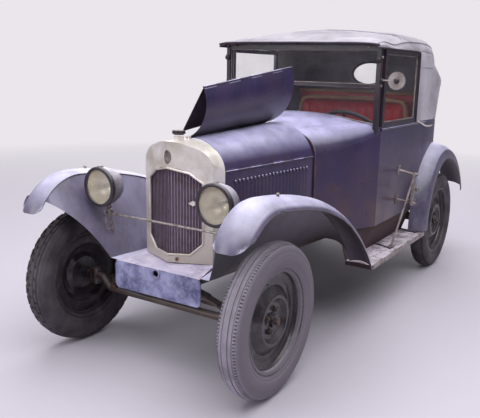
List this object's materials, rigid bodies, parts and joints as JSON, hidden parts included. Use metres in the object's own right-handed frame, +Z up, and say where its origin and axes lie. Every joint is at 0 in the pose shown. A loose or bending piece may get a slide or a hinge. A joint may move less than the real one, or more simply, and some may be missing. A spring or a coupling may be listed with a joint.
{
  "type": "vintage car",
  "caption": "Vintage cloth-hooded car with V radiator, flared fenders, running boards and disc wheels, its bonnet half folded open; door, bonnet, steering and wheels move.",
  "frame": {"origin": "on the ground at the middle of the car's length and width", "axes": "-Y towards the front, +X to the car's left, +Z up"},
  "size_m": [1.339, 3.3649, 1.7199],
  "materials": {
    "body_paint": "worn satin, dark violet",
    "panel_paint": "worn satin, dark violet",
    "black_paint": "satin with dust",
    "frame_steel": "matt, rusty",
    "wheel_paint": "matt, worn to rust",
    "tyre_rubber": "matt, dusty",
    "hood_cloth": "coarse weave",
    "seat_leather": "creased",
    "nickel": "tarnished",
    "core_metal": "dull, dark",
    "iron": "oily",
    "clear_glass": "slightly dusty",
    "board_rubber": "ribbed, worn",
    "board_wood": "varnished",
    "mirror_glass": "clear",
    "rust_iron": "rusty",
    "springs_steel": "oily, dull"
  },
  "bodies": {
    "chassis": {"body_tub": "panel_paint", "bonnet_hinge_rod": "body_paint", "bonnet_sills": "body_paint", "chassis_frame": "frame_steel", "dashboard": "board_wood", "engine": "iron", "exhaust": "rust_iron", "floor": "board_wood", "front_apron": "black_paint", "front_axle": "frame_steel", "front_fender_left": "black_paint", "front_fender_right": "black_paint", "front_spring": "springs_steel", "glazing": "clear_glass", "headlamp_left": "nickel", "headlamp_right": "nickel", "hood": "hood_cloth", "lamp_bar": "frame_steel", "lamp_lenses": "clear_glass", "mirror": "mirror_glass", "radiator_cap": "nickel", "radiator_core": "core_metal", "radiator_shell": "nickel", "rear_axle": "iron", "rear_fender_left": "black_paint", "rear_fender_right": "black_paint", "rear_springs": "springs_steel", "running_boards": "board_rubber", "scuttle": "panel_paint", "seat": "seat_leather", "side_window_left": "panel_paint", "spare_carrier": "frame_steel", "steering_column": "frame_steel", "windscreen_frame": "nickel"},
    "knuckle_left": {"knuckle_left": "frame_steel"},
    "knuckle_right": {"knuckle_right": "frame_steel"},
    "tie_rod": {"tie_rod": "frame_steel"},
    "wheel_front_left": {"wheel_front_left": "wheel_paint", "tyre_front_left": "tyre_rubber"},
    "wheel_front_right": {"wheel_front_right": "wheel_paint", "tyre_front_right": "tyre_rubber"},
    "wheel_rear_left": {"wheel_rear_left": "wheel_paint", "tyre_rear_left": "tyre_rubber"},
    "wheel_rear_right": {"wheel_rear_right": "wheel_paint", "tyre_rear_right": "tyre_rubber"},
    "steering_wheel": {"steering_wheel": "board_wood"},
    "door_right": {"door_right": "panel_paint", "door_glass": "clear_glass"},
    "bonnet_top_left": {"bonnet_top_left": "body_paint"},
    "bonnet_side_left": {"bonnet_side_left": "body_paint"},
    "bonnet_top_right": {"bonnet_top_right": "body_paint"},
    "bonnet_side_right": {"bonnet_side_right": "body_paint"}
  },
  "joints": [
    {"name": "steer_left", "type": "hinge", "parent": "chassis", "child": "knuckle_left", "pos_m": [0.488, -1.332, 0.355], "axis": [0, 0, 1], "range_deg": [-30, 30]},
    {"name": "steer_right", "type": "hinge", "parent": "chassis", "child": "knuckle_right", "pos_m": [-0.488, -1.332, 0.355], "axis": [0, 0, 1], "range_deg": [-30, 30]},
    {"name": "tie_rod_swing", "type": "hinge", "parent": "knuckle_left", "child": "tie_rod", "pos_m": [0.488, -1.212, 0.3004], "axis": [0, 0, 1], "range_deg": [-30, 30]},
    {"name": "steering_wheel_turn", "type": "hinge", "parent": "chassis", "child": "steering_wheel", "pos_m": [0.25, 0.198, 1.04], "axis": [0, 0.7314, 0.682], "range_deg": [-240, 240]},
    {"name": "wheel_front_left_spin", "type": "hinge", "parent": "knuckle_left", "child": "wheel_front_left", "pos_m": [0.575, -1.332, 0.355], "axis": [1, 0, 0], "continuous": true},
    {"name": "wheel_front_right_spin", "type": "hinge", "parent": "knuckle_right", "child": "wheel_front_right", "pos_m": [-0.575, -1.332, 0.355], "axis": [1, 0, 0], "continuous": true},
    {"name": "wheel_rear_left_spin", "type": "hinge", "parent": "chassis", "child": "wheel_rear_left", "pos_m": [0.575, 1.068, 0.355], "axis": [1, 0, 0], "continuous": true},
    {"name": "wheel_rear_right_spin", "type": "hinge", "parent": "chassis", "child": "wheel_rear_right", "pos_m": [-0.575, 1.068, 0.355], "axis": [1, 0, 0], "continuous": true},
    {"name": "door_right_swing", "type": "hinge", "parent": "chassis", "child": "door_right", "pos_m": [-0.556, -0.026, 0.85], "axis": [0, 0, 1], "range_deg": [0, 70]},
    {"name": "bonnet_top_left_swing", "type": "hinge", "parent": "chassis", "child": "bonnet_top_left", "pos_m": [0, -1.167, 1.106], "axis": [0, 0.9992, 0.0401], "range_deg": [-80, 0]},
    {"name": "bonnet_top_right_swing", "type": "hinge", "parent": "bonnet_top_left", "child": "bonnet_top_right", "pos_m": [0, -1.167, 1.106], "axis": [0, -0.9992, -0.0401], "range_deg": [0, 146]},
    {"name": "bonnet_side_right_fold", "type": "hinge", "parent": "bonnet_top_right", "child": "bonnet_side_right", "pos_m": [0.09416, -1.18271, 1.34866], "axis": [0.1133, 0.9829, 0.1449], "range_deg": [0, 110.01]},
    {"name": "bonnet_side_left_fold", "type": "hinge", "parent": "bonnet_top_left", "child": "bonnet_side_left", "pos_m": [0.214, -1.167, 0.957], "axis": [-0.1529, -0.9881, -0.0156], "range_deg": [0, 90]}
  ],
  "couplings": [
    {"joint": "steer_right", "follows": "steer_left", "ratio": 1},
    {"joint": "tie_rod_swing", "follows": "steer_left", "ratio": -1},
    {"joint": "steering_wheel_turn", "follows": "steer_left", "ratio": 8},
    {"joint": "bonnet_side_right_fold", "follows": "bonnet_top_right_swing", "ratio": 0.75343}
  ]
}
